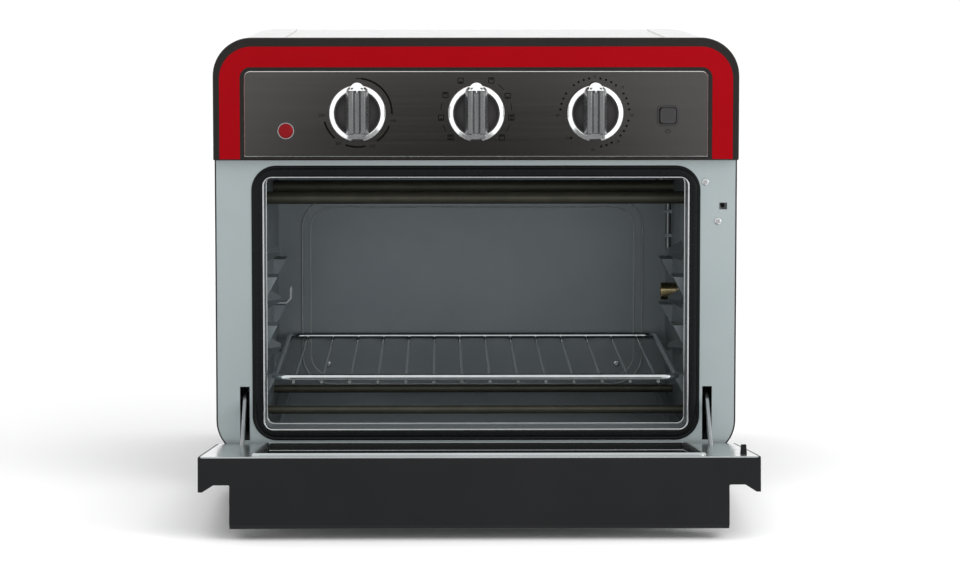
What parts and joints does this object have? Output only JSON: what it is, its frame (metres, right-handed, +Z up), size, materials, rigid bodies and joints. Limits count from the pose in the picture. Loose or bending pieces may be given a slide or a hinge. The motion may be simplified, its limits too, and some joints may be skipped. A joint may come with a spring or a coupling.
{
  "type": "toaster oven",
  "caption": "Countertop toaster oven with a drop-down glass door shown open, control head with three knobs and a lamp button, wire rack and crumb tray.",
  "frame": {"origin": "on the table plane under the middle of the whole footprint, door open", "axes": "+X to the right as the user sees it, +Y from the door to the back, +Z up"},
  "size_m": [0.3996, 0.5703, 0.3479],
  "materials": {
    "shell_paint": "gloss",
    "inner_steel": "zinc plated",
    "feet_rubber": "matte",
    "screw_steel": "nickel plated",
    "frame_silver": "satin silver",
    "dark_plastic": "satin",
    "red_paint": "gloss metallic red",
    "panel_metal": "dark brushed",
    "bright_ring": "polished",
    "red_lens": "translucent red",
    "part_plastic": "moulded",
    "button_plastic": "satin",
    "knob_plastic": "satin",
    "shaft_steel": "bright",
    "cavity_steel": "satin grey coating",
    "seal_rubber": "gloss black",
    "element_tube": "heat darkened",
    "ceramic": "glazed ceramic",
    "lamp_glass": "clear",
    "brass": "turned",
    "rack_chrome": "bright wire",
    "door_glass": "smoked"
  },
  "bodies": {
    "body": {"outer_shell": "shell_paint", "base_pan": "inner_steel", "rear_cover": "inner_steel", "hinge_brackets": "inner_steel", "door_switch": "inner_steel", "feet": "feet_rubber", "case_screws": "screw_steel", "front_frame": "frame_silver", "control_housing": "dark_plastic", "cord_gland": "dark_plastic", "red_band": "red_paint", "control_panel": "panel_metal", "indicator_bezel": "bright_ring", "indicator_lens": "red_lens", "indicator_lamp": "part_plastic", "lamp_switch": "part_plastic", "terminal_block": "part_plastic", "function_switch": "part_plastic", "timer": "part_plastic", "button_bezel": "button_plastic", "thermostat": "shaft_steel", "rotisserie_motor": "shaft_steel", "thermostat_bulb": "shaft_steel", "door_springs": "shaft_steel", "spit_support": "shaft_steel", "cavity_collar": "cavity_steel", "cavity_left_wall": "cavity_steel", "cavity_right_wall": "cavity_steel", "cavity_roof": "cavity_steel", "cavity_floor": "cavity_steel", "cavity_back": "cavity_steel", "door_gasket": "seal_rubber", "upper_elements": "element_tube", "lower_elements": "element_tube", "element_insulators": "ceramic", "lamp_holder": "ceramic", "lamp_cover": "lamp_glass", "lamp_bulb": "lamp_glass"},
    "door": {"door_frame": "dark_plastic", "door_inner_panel": "frame_silver", "door_inner_glass": "door_glass", "door_outer_glass": "door_glass", "door_handle": "dark_plastic", "hinge_pins": "screw_steel", "switch_peg": "dark_plastic"},
    "arms": {"hinge_arms": "shaft_steel"},
    "temperature_control": {"temperature_knob": "knob_plastic", "temperature_knob_ring": "bright_ring", "temperature_shaft": "shaft_steel"},
    "function_control": {"function_knob": "knob_plastic", "function_knob_ring": "bright_ring", "function_shaft": "shaft_steel"},
    "timer_control": {"timer_knob": "knob_plastic", "timer_knob_ring": "bright_ring", "timer_shaft": "shaft_steel"},
    "button": {"lamp_button": "button_plastic"},
    "spit_drive": {"rotisserie_coupling": "brass"},
    "rack": {"wire_rack": "rack_chrome"},
    "tray": {"crumb_tray": "cavity_steel"},
    "plunger": {"switch_plunger": "button_plastic"}
  },
  "joints": [
    {"name": "door_hinge", "type": "hinge", "parent": "body", "child": "door", "pos_m": [0, -0.05729, 0.0285], "axis": [1, 0, 0], "range_deg": [-84.4, 0], "deforming": ["door_springs"]},
    {"name": "arm_pivot", "type": "hinge", "parent": "door", "child": "arms", "pos_m": [0, -0.097, 0.0334], "axis": [1, 0, 0], "range_deg": [-0.2, 50.3]},
    {"name": "temperature_turn", "type": "hinge", "parent": "body", "child": "temperature_control", "pos_m": [-0.09, -0.05879, 0.2912], "axis": [0, 1, 0], "range_deg": [0, 270]},
    {"name": "function_turn", "type": "hinge", "parent": "body", "child": "function_control", "pos_m": [0, -0.05879, 0.2912], "axis": [0, 1, 0], "range_deg": [0, 180]},
    {"name": "timer_turn", "type": "hinge", "parent": "body", "child": "timer_control", "pos_m": [0.09, -0.05879, 0.2912], "axis": [0, 1, 0], "range_deg": [0, 300]},
    {"name": "lamp_press", "type": "slide", "parent": "body", "child": "button", "axis": [0, 1, 0], "range_m": [0, 0.0025], "stiffness_N_per_m": 400},
    {"name": "spit_turn", "type": "hinge", "parent": "body", "child": "spit_drive", "pos_m": [0, 0.11821, 0.138], "axis": [1, 0, 0], "continuous": true},
    {"name": "rack_slide", "type": "slide", "parent": "body", "child": "rack", "axis": [0, -1, 0], "range_m": [0, 0.2]},
    {"name": "tray_slide", "type": "slide", "parent": "body", "child": "tray", "axis": [0, 1, 0], "range_m": [0, 0.25]},
    {"name": "plunger_press", "type": "slide", "parent": "body", "child": "plunger", "axis": [0, 1, 0], "range_m": [0, 0.0025], "stiffness_N_per_m": 150}
  ],
  "couplings": [
    {"joint": "arm_pivot", "follows": "door_hinge", "ratio": -0.59242}
  ]
}
